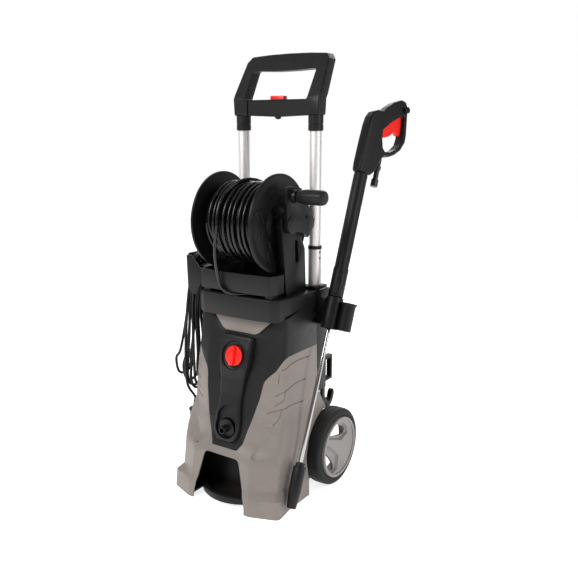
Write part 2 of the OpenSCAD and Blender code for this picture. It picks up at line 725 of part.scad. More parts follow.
housing_shell();
front_panel();
control_strip();
trim_insert();
top_cover();
reel_tray();
cord_hook();
rear_cover();
tube_columns();
base_plate();
outer_tubes();
lance_holder();
rear_hooks();
wheel_axle();
reel_stand_left();
reel_stand_right();
switch_body();
switch_knob();
inlet_fitting();
motor_case();
gearbox_housing();
pump_head();
outlet_hose();
tube_collars();
motor_shaft();
cooling_fan();
swash_plate();
inner_tubes();
tube_sleeves();
handle_front();
handle_rear();
handle_button();
button_spring();
reel_flange_left();
reel_flange_right();
reel_drum();
hose_winding();
crank_arm();
crank_knob();
tyre_left();
rim_left();
tyre_right();
rim_right();
gun_shell_left();
gun_shell_right();
gun_trigger();
trigger_spring();
safety_button();
gun_inlet();
lance_extension();
lance_tube();
spray_nozzle();
hose_tail();
hose_connector();
power_cord();
cord_hank();
cord_tail();
mains_plug();
strain_relief();
housing_screws();
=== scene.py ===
"""Looks of the upright pressure washer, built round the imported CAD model.

Sizes and places are millimetres, as in part.scad, until mesh_object() makes them metres.
+X is the right-hand side seen from the front, the front faces -Y and +Z is up.
"""

import json
import math
import random

import bmesh
import bpy
from mathutils import Matrix, Vector
from mathutils.bvhtree import BVHTree

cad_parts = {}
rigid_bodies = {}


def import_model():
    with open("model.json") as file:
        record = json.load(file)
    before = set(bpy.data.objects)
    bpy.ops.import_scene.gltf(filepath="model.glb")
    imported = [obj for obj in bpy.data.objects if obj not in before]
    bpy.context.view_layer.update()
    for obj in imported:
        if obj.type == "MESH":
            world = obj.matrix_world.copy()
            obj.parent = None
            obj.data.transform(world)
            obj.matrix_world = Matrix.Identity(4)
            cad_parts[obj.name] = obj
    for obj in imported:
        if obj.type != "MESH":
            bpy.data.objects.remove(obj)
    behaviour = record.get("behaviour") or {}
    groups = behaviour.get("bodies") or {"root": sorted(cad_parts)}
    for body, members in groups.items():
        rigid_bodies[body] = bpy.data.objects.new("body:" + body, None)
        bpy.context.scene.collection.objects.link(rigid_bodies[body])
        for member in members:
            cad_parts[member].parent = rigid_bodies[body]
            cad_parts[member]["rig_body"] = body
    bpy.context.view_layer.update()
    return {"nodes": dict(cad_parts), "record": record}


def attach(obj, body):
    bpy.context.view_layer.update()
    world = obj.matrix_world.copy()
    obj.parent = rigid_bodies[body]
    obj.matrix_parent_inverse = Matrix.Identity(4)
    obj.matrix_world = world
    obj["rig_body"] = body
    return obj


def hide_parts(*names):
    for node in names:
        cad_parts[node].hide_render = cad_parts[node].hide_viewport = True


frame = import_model()
scene = bpy.context.scene
MM = 0.001

# ---------- main places and sizes ----------

AXLE_Y, AXLE_Z = 89, 97                 # wheel axle
REEL_Y, REEL_Z = -32, 664               # reel's axis
KNOB_Y, KNOB_Z = -28, 728               # axis of the crank's knob
TUBE_X, TUBE_Y = 105, 86                # handle tubes
BUTTON_TOP, BAR_TOP = 960, 941          # well of the handle's button, top of its crossbar
BEND_Z, BEND_HEIGHT, BEND_BACK = 0.944, 0.111, 0.063   # the grip leans back above its bar, m
PANEL_LEAN = 14                         # slope of the front panel, degrees
PANEL_Y, PANEL_Z = -137, 144            # foot of the panel
SWITCH_UP, INLET_UP = 213, 44           # centres up the panel's face
INLET_Z = 184                           # water inlet, which lies level
BACK_Y = 58                             # rear of the housing's upper part
HOSE_R, CORD_R = 4, 3.5                 # hose and mains cord
DRUM_LAYER, DRUM_HALF = 80.4, 63.4      # radius of the hose's lower layer, and its half width
PLUG = (-174, -45, 188)                 # where the mains plug hangs from
LANCE_FOOT = (170, -74, 114.4)          # where lengths up the lance are measured from
LANCE_TURN, LANCE_LEAN = 20, 22         # its turn about the upright and its slope, degrees
SIDEWAYS, UPRIGHT, FORWARD = (1, 0, 0), (0, 0, 1), (0, -1, 0)

# ---------- camera ----------

camera = bpy.data.objects.new("camera", bpy.data.cameras.new("camera"))
scene.collection.objects.link(camera)
camera.location = (1.0137, -1.3689, 0.88)
camera.rotation_euler = (math.radians(77.289), 0, math.radians(34.066))
camera.data.sensor_width = 36
camera.data.lens = 44.9
camera.data.dof.use_dof = False
scene.camera = camera

# ---------- mesh helpers ----------


def across_x(u, v, w):
    """Outline across Y and Z, depth along X."""
    return (w, u, v)


def across_y(u, v, w):
    """Outline across X and Z, depth along Y."""
    return (u, w, v)


def across_z(u, v, w):
    """Outline across X and Y, depth along Z."""
    return (u, v, w)


def mesh_object(name, points, faces):
    mesh = bpy.data.meshes.new(name)
    mesh.from_pydata([Vector(p) * MM for p in points], [], faces)
    made = bpy.data.objects.new(name, mesh)
    scene.collection.objects.link(made)
    edit(made, lambda bm: bmesh.ops.recalc_face_normals(bm, faces=bm.faces))
    return made


def edit(thing, change):
    """Changes a piece's mesh with a function of its bmesh."""
    bm = bmesh.new()
    bm.from_mesh(thing.data)
    change(bm)
    bm.to_mesh(thing.data)
    bm.free()
    return thing


def bake(thing):
    """Applies the modifiers."""
    graph = bpy.context.evaluated_depsgraph_get()
    graph.update()
    mesh = bpy.data.meshes.new_from_object(thing.evaluated_get(graph))
    thing.modifiers.clear()
    thing.data = mesh
    return thing


def shade(thing, angle=38):
    thing.data.polygons.foreach_set("use_smooth", [True] * len(thing.data.polygons))
    thing.data.set_sharp_from_angle(angle=math.radians(angle))
    return thing


def bevel(thing, width, segments=3, angle=30):
    rounding = thing.modifiers.new("rounding", "BEVEL")
    rounding.width, rounding.segments = width * MM, segments
    rounding.limit_method, rounding.angle_limit = "ANGLE", math.radians(angle)
    rounding.use_clamp_overlap = True
    return shade(bake(thing))


def boolean(thing, cutter, operation="DIFFERENCE", keep=False):
    cut = thing.modifiers.new("cut", "BOOLEAN")
    cut.object, cut.operation, cut.solver = cutter, operation, "EXACT"
    bake(thing)
    if not keep:
        bpy.data.objects.remove(cutter)
    return thing


def copy_of(thing, name):
    made = bpy.data.objects.new(name, thing.data.copy())
    scene.collection.objects.link(made)
    return made


def join(name, things):
    bm = bmesh.new()
    for thing in things:
        bm.from_mesh(thing.data)
        bpy.data.objects.remove(thing)
    mesh = bpy.data.meshes.new(name)
    bm.to_mesh(mesh)
    bm.free()
    made = bpy.data.objects.new(name, mesh)
    scene.collection.objects.link(made)
    return made


def mirrored(thing, name):
    """The same piece on the other side of the middle plane."""
    made = copy_of(thing, name)
    made.data.transform(Matrix.Scale(-1, 4, (1, 0, 0)))
    made.data.flip_normals()
    return shade(made)


def prism(name, outline, low, high, place=across_x):
    """An outline drawn out from one depth to another."""
    n = len(outline)
    points = [place(u, v, w) for w in (low, high) for u, v in outline]
    sides = [(i, (i + 1) % n, n + (i + 1) % n, n + i) for i in range(n)]
    return mesh_object(name, points, [list(range(n)), list(range(n, 2 * n)), *sides])


def block(name, x0, x1, y0, y1, z0, z1):
    return prism(name, [(x0, y0), (x1, y0), (x1, y1), (x0, y1)], z0, z1, across_z)


def loft(name, rings, closed=True):
    """A skin over rings of equal point count, capped at both ends if the rings close."""
    n, faces = len(rings[0]), []
    for k in range(len(rings) - 1):
        for i in range(n if closed else n - 1):
            j = (i + 1) % n
            faces.append((k * n + i, k * n + j, (k + 1) * n + j, (k + 1) * n + i))
    if closed:
        last = (len(rings) - 1) * n
        faces += [list(range(n)), [last + i for i in range(n)]]
    return mesh_object(name, [p for ring in rings for p in ring], faces)


def turned(name, profile, origin, axis=(1, 0, 0), steps=72):
    """A solid turned about an axis from a closed profile of (radius, place along the axis)."""
    along = Vector(axis).normalized()
    side = along.orthogonal().normalized()
    up = along.cross(side)
    rings = []
    for k in range(steps):
        a = 2 * math.pi * k / steps
        out = side * math.cos(a) + up * math.sin(a)
        rings.append([Vector(origin) + out * r + along * h for r, h in profile])
    n, faces = len(profile), []
    for k in range(steps):
        for i in range(n):
            a, b = k * n, (k + 1) % steps * n
            faces.append((a + i, a + (i + 1) % n, b + (i + 1) % n, b + i))
    made = mesh_object(name, [p for ring in rings for p in ring], faces)

    def tidy(bm):
        bmesh.ops.remove_doubles(bm, verts=bm.verts, dist=1e-6)
        bmesh.ops.recalc_face_normals(bm, faces=bm.faces)

    return edit(made, tidy)


def rounded(outline, radius, steps=4, steady=False):
    """The outline with its corners rounded; steady keeps one point count whatever the angles."""
    n, made = len(outline), []
    radii = radius if isinstance(radius, (list, tuple)) else [radius] * n
    for i in range(n):
        p, a, b = (Vector(outline[k % n]) for k in (i, i - 1, i + 1))
        to_a, to_b = (a - p), (b - p)
        turn = to_a.angle(to_b)
        cut = min(radii[i] / math.tan(turn / 2), to_a.length * 0.48, to_b.length * 0.48)
        if radii[i] <= 0 or turn > math.radians(176) and not steady:
            made.append(tuple(p))
            continue
        start, end = p + to_a.normalized() * cut, p + to_b.normalized() * cut
        for k in range(steps + 1):
            t = k / steps
            q = start * (1 - t) ** 2 + p * (2 * t * (1 - t)) + end * t ** 2
            made.append(tuple(q))
    return made


def inset(outline, distance):
    """The outline moved inwards by a distance, point by point."""
    n = len(outline)
    area = sum(outline[i - 1][0] * outline[i][1] - outline[i][0] * outline[i - 1][1]
               for i in range(n))
    made = []
    for i in range(n):
        before, here, after = (Vector(outline[k % n]) for k in (i - 1, i, i + 1))
        a, b = (here - before).normalized(), (after - here).normalized()
        out = Vector((a.y + b.y, -a.x - b.x)) * (1 if area > 0 else -1)
        scale = 1 / max(0.5, 0.5 * out.length)
        made.append(tuple(here - out.normalized() * distance * scale))
    return made


def pillow(name, outline, low, high, edge, place=across_x, steps=4):
    """A plate with rounded edges; a negative edge flares out, for cutting a rounded hole."""
    rings, size = [], abs(edge)
    for k in range(steps + 1):
        a = math.pi / 2 * k / steps
        rings.append((edge * (1 - math.sin(a)), low + size * (1 - math.cos(a))))
    rings += [(d, low + high - h) for d, h in reversed(rings)]
    return loft(name, [[place(u, v, h) for u, v in inset(outline, d)] for d, h in rings])


def both_halves(right):
    """An outline that is the same on both sides of the middle, from its right half."""
    return list(right) + [(-u, v) for u, v in reversed(right) if abs(u) > 1e-6]


def smooth_route(points, per=8):
    """Points on a smooth curve through the given ones."""
    p = [Vector(q) for q in points]
    p = [2 * p[0] - p[1], *p, 2 * p[-1] - p[-2]]
    made = []
    for i in range(1, len(p) - 2):
        for k in range(per):
            t = k / per
            a, b, c, d = p[i - 1], p[i], p[i + 1], p[i + 2]
            made.append(0.5 * (2 * b + (c - a) * t + (2 * a - 5 * b + 4 * c - d) * t * t
                               + (3 * b - a - 3 * c + d) * t ** 3))
    return [*made, p[-2]]


def tube(name, route, radius, sides=14):
    """A round tube along a route, turning no more than the route does."""
    route = [Vector(q) for q in route]
    ahead = [(route[min(i + 1, len(route) - 1)] - route[max(i - 1, 0)]).normalized()
             for i in range(len(route))]
    side, rings = ahead[0].orthogonal().normalized(), []
    for place, forward in zip(route, ahead):
        side = (side - forward * side.dot(forward)).normalized()
        up = forward.cross(side)
        rings.append([place + (side * math.cos(2 * math.pi * k / sides)
                               + up * math.sin(2 * math.pi * k / sides)) * radius
                      for k in range(sides)])
    return shade(loft(name, rings))


pieces = {}


def show(thing, body, slot, *nodes):
    """Hands a finished piece to the frame: its body, its material and the CAD nodes it replaces."""
    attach(thing, body)
    if nodes:
        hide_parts(*nodes)
    pieces[thing.name] = slot
    return thing


def refined(node, slot, width=1.0, segments=3, angle=30, flat=1.0, cutters=()):
    """A CAD node's own shape with its flats joined, cut further, and its edges rounded."""
    made = copy_of(frame["nodes"][node], node + "_form")

    def tidy(bm):
        bmesh.ops.remove_doubles(bm, verts=bm.verts, dist=2e-5)
        bmesh.ops.dissolve_limit(bm, angle_limit=math.radians(flat), verts=bm.verts,
                                 edges=bm.edges)
        bmesh.ops.dissolve_degenerate(bm, edges=bm.edges, dist=1e-5)

    edit(made, tidy)
    for cutter in cutters:
        boolean(made, cutter)
    bevel(made, width, segments, angle)
    return show(made, frame["nodes"][node]["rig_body"], slot, node)


# ---------- cords and hose ----------


def on_reel(x, r, turns):
    a = 2 * math.pi * turns
    return Vector((x, REEL_Y - r * math.cos(a), REEL_Z + r * math.sin(a)))


def wound_route():
    """The hose on the drum: a full lower layer, a loose upper one, and the turn that crosses it."""
    draw, route, per = random.Random(11), [], 36
    lower, upper = 10, 8
    for k in range(lower * per):
        t = k / (lower * per)
        route.append(on_reel(DRUM_HALF * (2 * t - 1), DRUM_LAYER, -k / per))
    nudge = [draw.uniform(-3.4, 3.4) for _ in range(upper + 3)]
    lift = [draw.uniform(0, 2.2) for _ in range(upper + 3)]
    for k in range(upper * per):
        turn = k / per
        i, f = int(turn), turn % 1
        f = f * f * (3 - 2 * f)
        x = 61 - 111 * turn / upper + nudge[i] * (1 - f) + nudge[i + 1] * f
        blend_in = min(1, turn * 3)
        r = DRUM_LAYER + (8.4 + lift[i] * (1 - f) + lift[i + 1] * f) * blend_in
        route.append(on_reel(min(x, DRUM_HALF), r, -turn))
    x_from = route[-1].x
    for k in range(per + 1):
        t = k / per
        s = t * t * (3 - 2 * t)
        over = math.sin(math.pi * min(1, t / 0.9))
        route.append(on_reel(x_from + (-18 - x_from) * s + 46 * over, 89.6 + 10 * s, -t))
    return route


HOSE_END = [(-18, -131.6, 664), (-22, -131.5, 640), (-27, -129, 616), (-32, -123, 592),
            (-36, -115, 568), (-37, -109, 547), (-35, -106, 529), (-28, -104, 514.5),
            (-17, -102.8, 506.5), (-3, -98.5, 503.2), (12, -90.5, 502.8),
            (24, -83.5, 502.8), (34, -77.3, 502.8)]
CORD_RUN = [(-60, 108, 420), (-60, 131, 420), (-60, 146, 420), (-64, 158, 424),
            (-74, 168, 436), (-90, 172, 455), (-110, 166, 476), (-128, 150, 496),
            (-140, 126, 516), (-147, 98, 535), (-150, 68, 550), (-149, 38, 559),
            (-146, 10, 565), (-142, -16, 569)]
LOOPS = 6


def hank_route():
    """The mains cord's loops over the hook, from the far side of the arm to the plug.

    Strands cross the arm by turns in a lower and an upper layer, one in the gaps of the other.
    """
    layer = 6.1
    bottoms = [(-141, 250), (-151, 234), (-163, 226), (-174, 231), (-187, 243), (-211, 256)]
    made = []
    for i in range(LOOPS):
        top, after, waist = -136.6 - CORD_R * i, -140.1 - CORD_R * i, -155 - 4.2 * i
        out, out_after = (0, layer) if i % 2 == 0 else (layer, 0)
        dip = 3.3 if i % 2 == 0 else -3.3
        x, z = bottoms[i]
        made += [(top, -45, 567.5 + out), (top, -61.6 - 0.7 * out, 560.6 + 0.7 * out),
                 (top, -68.5 - out, 544), (top, -67.5 - out, 515),
                 ((top + waist) / 2, -65 + dip, 480), (waist, -60 + dip, 435),
                 (waist * 0.7 + x * 0.3, -62 + dip, 380),
                 (waist * 0.35 + x * 0.65, -66 + dip, 325), (x - 2, -69, z + 48),
                 (x - 1, -69, z + 24), (x, -62, z + 7), (x + 1, -45, z),
                 (x + 2, -28, z + 7), (x + 3, -21, z + 24), (x + 3, -21, z + 48),
                 (waist * 0.35 + x * 0.65 + 2, -24 + dip, 325),
                 (waist * 0.75 + x * 0.25 + 1, -28 + dip, 380), (waist, -30 + dip, 435),
                 ((after + waist) / 2, -26 + dip, 480), (after, -22.5 + out_after, 515),
                 (after, -21.5 + out_after, 544),
                 (after, -28.4 + 0.7 * out_after, 560.6 + 0.7 * out_after)]
    made += [(-157.6, -45, 567.5), (-157.6, -61.6, 560.6), (-157.8, -68.5, 544),
             (-158.5, -68, 515), (-163, -71, 480), (-169, -72, 435), (-173, -74, 380),
             (-174, -77, 325), (-174, -78, 280), (-174, -75, 246), (-174, -67, 226),
             (-174, -54, 209), (-174, -46, 196), (-174, -45, 184)]
    return made


def mains_plug():
    """Plug with a moulded neck, a finger flange and two pins, hanging from the cord's end."""
    body = [(0, -2), (4.2, -2), (5.4, 2), (6.2, 8), (7.4, 15), (9.6, 19), (17.4, 21),
            (18, 22.5), (18, 25), (16.6, 26.4), (15.4, 28), (15.6, 40), (14.6, 42), (0, 42)]
    parts = [turned("neck", body, PLUG, (0, 0, -1), 48)]
    for x in (-9.5, 9.5):
        pin = [(0, 41), (2.4, 41), (2.4, 59), (1.6, 61), (0, 61)]
        parts.append(turned("pin", pin, (PLUG[0] + x, *PLUG[1:]), (0, 0, -1), 20))
    return show(shade(join("plug_body", parts), 30), "frame", "black_frame", "mains_plug")


def lay_cords():
    """Makes the hose's turns, its loose end and the mains cord, and declares each one."""
    wound = smooth_route(wound_route(), 1)
    hose = show(tube("hose_turns", wound, HOSE_R, 12), "reel", "hose_rubber", "hose_winding")
    connector = refined("hose_connector", "fitting_metal", 0.6)
    end = smooth_route(HOSE_END, 8)
    tail = show(tube("hose_end", end, HOSE_R, 16), "frame", "hose_rubber", "hose_tail")
    mains = smooth_route(CORD_RUN + hank_route(), 6)
    cord = show(tube("mains_cord", mains, CORD_R, 12), "frame", "cord_rubber",
                "power_cord", "cord_hank", "cord_tail")
    plug = mains_plug()


lay_cords()

# ---------- housing ----------

LEAN = math.tan(math.radians(PANEL_LEAN))


def panel_y(z):
    """Front of the leaning panel at a height."""
    return PANEL_Y + (z - PANEL_Z) * LEAN


def in_panel(x, up, out):
    """A place on the leaning panel: across, up its face, and out from it."""
    s, c = math.sin(math.radians(PANEL_LEAN)), math.cos(math.radians(PANEL_LEAN))
    return Vector((x, PANEL_Y + s * up - c * out, PANEL_Z + c * up + s * out))


def across_panel(u, v, w):
    return in_panel(u, v, w)


def between(table, v):
    """Reads a table of (place, value) rows with straight lines between them."""
    for (a, p), (b, q) in zip(table, table[1:]):
        if v <= b:
            return p + (q - p) * max(0, v - a) / (b - a)
    return table[-1][1]


OUT = Vector((0, -math.cos(math.radians(PANEL_LEAN)), math.sin(math.radians(PANEL_LEAN))))
SWITCH, INLET = in_panel(0, SWITCH_UP, 0), (0, -100, INLET_Z)
TRIM = rounded(both_halves([(44, 268), (55, 274), (90, 309)]), [10, 8, 3, 3, 8, 10])


STRAIGHT_BELOW = 150
# height, front y, front half width, corner x, corner y, side x, side y, rear y
LEVELS = [(0, -173, 92, 160, -148, 152, -93, 105), (42, -169, 90, 158, -145, 151, -92, 105),
          (56, -164, 87, 143, -131, 148, -88, 105), (100, -158, 84, 142, -125, 148, -84, 105),
          (125, -155, 82, 143, -121, 148, -82, 105),
          (150, panel_y(150), 64, 144, -115, 147, -76, 105),
          (190, panel_y(190), 66, 141, -100, 144, -64, 88),
          (223, panel_y(223), 71, 137, -86, 138, -54, 72),
          (250, panel_y(250), 76, 136, -83, 136, -50, 60),
          (300, panel_y(300), 86, 134, -80, 132, -45, 58),
          (370, panel_y(370), 88, 129, -73, 130, -42, 58),
          (480, panel_y(480), 88, 126, -66, 128, -40, 58)]


def level(z):
    """The housing's plan dimensions at a height, smooth from one level to the next."""
    k = max(i for i in range(len(LEVELS) - 1) if LEVELS[i][0] <= z)
    a, b = LEVELS[k], LEVELS[k + 1]
    before, after = LEVELS[max(k - 1, 0)], LEVELS[min(k + 2, len(LEVELS) - 1)]
    h = b[0] - a[0]
    t = (z - a[0]) / h
    if z <= STRAIGHT_BELOW:
        return [p + (q - p) * t for p, q in zip(a[1:], b[1:])]
    made = []
    for i in range(1, 8):
        rise = (b[i] - a[i]) / h
        m0 = rise if k == 0 else (rise + (a[i] - before[i]) / (a[0] - before[0])) / 2
        m1 = rise if after is b else (rise + (after[i] - b[i]) / (after[0] - b[0])) / 2
        made.append((2 * t ** 3 - 3 * t * t + 1) * a[i] + (t ** 3 - 2 * t * t + t) * m0 * h
                    + (3 * t * t - 2 * t ** 3) * b[i] + (t ** 3 - t * t) * m1 * h)
    return made


def plan(z):
    """The housing's outline at a height."""
    front, front_w, corner_x, corner_y, side_x, side_y, rear = level(z)
    right = [(side_x, rear), (side_x, side_y), (corner_x, corner_y), (front_w, front)]
    outline = right + [(-x, y) for x, y in reversed(right)]
    front_r = between([(0, 8), (130, 14), (200, 40)], z)
    side_r = between([(0, 8), (130, 14), (200, 34)], z)
    radii = [0, side_r, 15, front_r, front_r, 15, side_r, 0]
    return [(x, y, z) for x, y in rounded(outline, radii, 6, steady=True)]


def housing_skin(name):
    """The wall from the right rear edge round the front to the left rear edge."""
    heights = [0, 21, 42, 49, 56, 78, 100, 112, 125, 137] + [150 + 7.5 * k for k in range(45)]
    skin = loft(name, [plan(z) for z in heights], closed=False)
    front = min(skin.data.polygons, key=lambda f: f.center.y)
    if front.normal.y > 0:
        skin.data.flip_normals()
    wall = skin.modifiers.new("wall", "SOLIDIFY")
    wall.thickness, wall.offset, wall.use_even_offset = 3 * MM, -1, True
    return bake(skin)


# Edge between the black panel and the grey shell, right half from the front: (x, z)
SHIELD = [(43, 144), (54, 180), (65, 215), (74, 250), (79, 271), (84, 302), (94, 317),
          (108, 331), (120, 350), (131, 367), (142, 380)]


def shield(grow):
    """Prism that marks off the black panel from the grey shell."""
    edge = [(q.x, q.z) for q in smooth_route([(x, 0, z) for x, z in SHIELD], 4)]
    outline = both_halves([(36, 139), *edge[1:], (170, 400), (170, 520)])
    return prism("shield", inset(outline, -grow), -230, 130, across_y)


def above_band():
    """Prism over the seam between the housing and the top band."""
    line = [(-220, 445), (-84, 446), (-60, 454), (60, 482), (140, 500)]
    return prism("above", [*line, (140, 560), (-220, 560)], -190, 190)


def axle_ring(x0, x1, r_in, r_out, start=0, stop=360, steps=72):
    """Part of a ring round the wheel axle, from one angle to another."""
    angles = [math.radians(start + (stop - start) * k / steps) for k in range(steps + 1)]
    outer, inner = ([(AXLE_Y + r * math.cos(a), AXLE_Z + r * math.sin(a)) for a in angles]
                    for r in (r_out, r_in))
    outline = outer[:-1] if r_in <= 0 else outer + inner[::-1]
    return prism("axle_ring", outline, x0, x1)


# Grooves of the side wall, seen from the side: (y, z)
GILLS = [[(22, 344), (-14, 347), (-49, 346), (-66, 342), (-79, 335)],
         [(-82, 325), (-84, 315), (-86, 303)],
         [(4, 293), (-25, 295), (-52, 293), (-79, 287), (-91, 274)],
         [(-79, 285), (-84, 266), (-94, 250)],
         [(-12, 243), (-45, 247), (-73, 249), (-88, 243), (-103, 232)],
         [(-88, 241), (-93, 222), (-104, 205)]]
# Dent over the front leg: (x, y, z)
SCOOP = [(84, -144, 132), (90, -130, 150), (99, -121, 168), (109, -114, 184)]


def on_skin(tree, y, z):
    """Where a level line from the right first meets the housing."""
    hit = tree.ray_cast(Vector((300, y, z)) * MM, Vector((-1, 0, 0)))[0]
    return hit / MM if hit else None


def gills(skin):
    """Cutters for the grooves and dents of both side walls: tubes laid on the surface."""
    tree = BVHTree.FromObject(skin, bpy.context.evaluated_depsgraph_get())
    cutters = []
    for line in GILLS:
        size = 1.9 if line[0][0] > -40 else 1.4
        route = smooth_route([(0, y, z) for y, z in line], 8)
        route = [q for q in (on_skin(tree, p.y, p.z) for p in route) if q and q.x > 90]
        right = tube("gill", route, size, 10)
        cutters += [mirrored(right, "gill_left"), right]
    dent = tube("dent", smooth_route([(x + 1.5, y - 6, z + 2) for x, y, z in SCOOP], 6), 8, 20)
    cutters += [mirrored(dent, "dent_left"), dent]
    return cutters


def make_housing():
    """Divides one skin into the black panel and the grey shell, and opens both."""
    skin = housing_skin("front_panel_form")
    shell = copy_of(skin, "housing_shell_form")
    boolean(skin, shield(-0.35), "INTERSECT")
    boolean(skin, above_band())
    boolean(skin, turned("hole", [(0, -30), (31, -30), (31, 30), (0, 30)], SWITCH, OUT))
    boolean(skin, prism("trim_gap", TRIM, -1.4, 20, across_panel))
    boolean(skin, turned("hole", [(0, 0), (27, 0), (27, 60), (0, 60)], INLET, FORWARD))
    show(bevel(skin, 0.8, 2, 40), "frame", "black_panel", "front_panel")

    boolean(shell, shield(0.35))
    boolean(shell, above_band())
    arch = rounded([(-78, -9), (78, -9), (76, 20), (50, 124), (-50, 124), (-76, 20)],
                   [0, 0, 12, 14, 14, 12])
    boolean(shell, prism("arch", arch, -230, -120, across_y))
    boolean(shell, block("rear", -170, 170, BACK_Y, 130, 240, 520))
    for side in (-1, 1):
        x0, x1 = sorted((110 * side, 175 * side))
        boolean(shell, axle_ring(x0, x1, 0, 101))
        boolean(shell, block("low", x0, x1, -6, 130, -9, AXLE_Z))
    for gill in gills(shell):
        boolean(shell, gill)
    mass = loft("mass", [plan(z) for z in (0, 42, 56, 100, 125, 150, 170, 190, 223, 250)])
    liners = []
    for side in (-1, 1):
        x0, x1 = sorted((119 * side, 158 * side))
        liner = axle_ring(x0, x1, 101, 104, 78, 158)
        liners.append(boolean(liner, mass, "INTERSECT", keep=True))
    bpy.data.objects.remove(mass)
    shell = join("housing_shell_form", [shell, *liners])
    show(bevel(shell, 0.8, 2, 40), "frame", "grey_shell", "housing_shell")


def make_strip():
    """The raised strip with the switch's dish and the inlet's recess, and the grey insert."""
    width = [(8, 19), (12, 25), (20, 31), (32, 35), (48, 36.5), (66, 35.5), (84, 32.5),
             (104, 31), (120, 31), (165, 35), (200, 42), (262, 44)]
    height = [(8, 9), (30, 11), (120, 11), (160, 14), (186, 18), (232, 18), (262, 14)]
    rings = []
    ends = [(8, 4), (8.6, 2.2), (10, 0.8), (12, 0)]
    rows = ends + [(v, 0) for v in range(15, 256, 3)] + [(270 - v, d) for v, d in ends[::-1]]
    for v, less in rows:
        w, h = between(width, v) - less * 0.8, between(height, v) - less * 0.8
        edge = rounded([(w, -2), (w, h), (-w, h), (-w, -2)], [0, 7, 7, 0], 6, steady=True)
        rings.append([in_panel(x, v, z) for x, z in edge])
    strip = loft("control_strip_form", rings)
    dish = [(0, 12), (30, 12), (33, 13.2), (34.5, 16), (36, 30), (0, 30)]
    boolean(strip, turned("dish", dish, SWITCH, OUT, 96))
    boolean(strip, turned("bore", [(0, -20), (26, -20), (26, 30), (0, 30)], SWITCH, OUT, 96))
    boolean(strip, turned("recess", [(0, 4), (29.4, 4), (30.5, 16), (0, 16)],
                          in_panel(0, INLET_UP, 0), OUT, 96))
    boolean(strip, turned("recess", [(0, 4), (27.4, 4), (28.5, 16), (0, 16)],
                          in_panel(0, 66, 0), OUT, 96))
    boolean(strip, turned("bore", [(0, 0), (24, 0), (24, 60), (0, 60)], INLET, FORWARD, 96))
    show(bevel(strip, 0.7, 2, 40), "frame", "black_panel", "control_strip")
    trim = prism("trim_insert_form", inset(TRIM, 1.8), 0.2, 3.8, across_panel)
    show(bevel(trim, 1.0, 3), "frame", "grey_shell", "trim_insert")
    refined("inlet_fitting", "inlet_plastic", 0.8)


def make_switch():
    """The red knob, a disc with a grip bar across it, over its socket."""
    refined("switch_body", "black_frame", 0.8)
    disc = [(0, 13), (23.4, 13), (24, 13.8), (24, 17.6), (23, 19), (20, 19.4), (0, 19.4)]
    parts = [turned("disc", disc, SWITCH, OUT, 96)]
    bar = rounded([(-5.4, -22.6), (5.4, -22.6), (4.6, 22.6), (-4.6, 22.6)], 3)
    parts += [pillow("grip", [(u, v + SWITCH_UP) for u, v in bar], 15, 28, 1.6, across_panel),
              turned("stub", [(0, 11), (6, 11), (6, 14), (0, 14)], SWITCH, OUT, 32)]
    knob = join("switch_knob_form", parts)
    show(shade(knob, 35), "switch", "red_plastic", "switch_knob")


# Top band's plan, right half: (x, y)
BAND = [(0, -98), (56, -96), (98, -92), (118, -80), (124, -46), (128, 0), (128, 58)]


def make_top():
    """The band over the panel and the tray that stands on it."""
    outline = both_halves(BAND)
    radii = [0, 30, 20, 9, 30, 30, 3] + [3, 30, 30, 9, 20, 30]
    band = prism("top_cover_form", rounded(outline, radii), 430, 498, across_z)
    boolean(band, above_band(), "INTERSECT")
    inner = prism("inner", rounded(inset(outline, 3), radii), 400, 494.5, across_z)
    boolean(band, inner)
    show(bevel(band, 1.5, 3, 35), "frame", "black_panel", "top_cover")

    half = [(42, -99), (100, -96), (106, -70), (106, -46), (91.5, -43), (91.5, 57)]
    lip = prism("lip", rounded(both_halves(half), [14, 7, 8, 2, 0, 3, 3, 0, 2, 8, 7, 14]),
                508, 552, across_z)
    half = [(42, -95), (96, -92), (102, -68), (102, -48), (88, -42), (88, 53)]
    boolean(lip, prism("pan", rounded(both_halves(half), 5), 514, 560, across_z))
    bevel(lip, 1.6, 3, 35)
    foot = bevel(block("foot", -91, 91, -60, 57, 498, 509), 1, 2)
    pads = [bevel(block("pad", *sorted((80 * s, 99 * s)), -86, -60, 498, 509), 1, 2)
            for s in (-1, 1)]
    show(shade(join("reel_tray_form", [lip, foot, *pads])), "frame", "black_panel",
         "reel_tray")


make_housing()
make_strip()
make_switch()
make_top()

# ---------- reel ----------

REEL = (0, REEL_Y, REEL_Z)


def flange_face(r):
    """Where the flange's outer face stands at a radius."""
    return between([(24, 80), (40, 76), (92, 80), (108, 84)], r)


def make_flange(side):
    """A dished disc with a thick rim and two rings of raised chevrons."""
    profile = [(12, 74), (40, 72), (92, 76), (107.5, 78), (113.5, 78), (113.5, 84),
               (108.5, 84), (92, 80), (40, 76), (24, 80), (12, 80)]
    disc = turned("disc", rounded(profile, 1.6, 3), REEL, (side, 0, 0), 128)
    ribs = []
    for k in range(8):
        start = 2 * math.pi * (k + 0.5) / 8
        for r0, r1 in ((50, 66), (72, 92)):
            line = []
            for t in (-1, -0.5, 0, 0.5, 1):
                r = r1 - (r1 - r0) * abs(t)
                a = start + t * 14 / r
                line.append((side * (flange_face(r) + 0.1), REEL_Y + r * math.cos(a),
                             REEL_Z + r * math.sin(a)))
            ribs.append(tube("rib", line, 1.0, 8))
    name = "reel_flange_" + ("right" if side > 0 else "left")
    made = shade(join(name + "_form", [disc, *ribs]), 30)
    show(made, "reel", "reel_plastic", name)


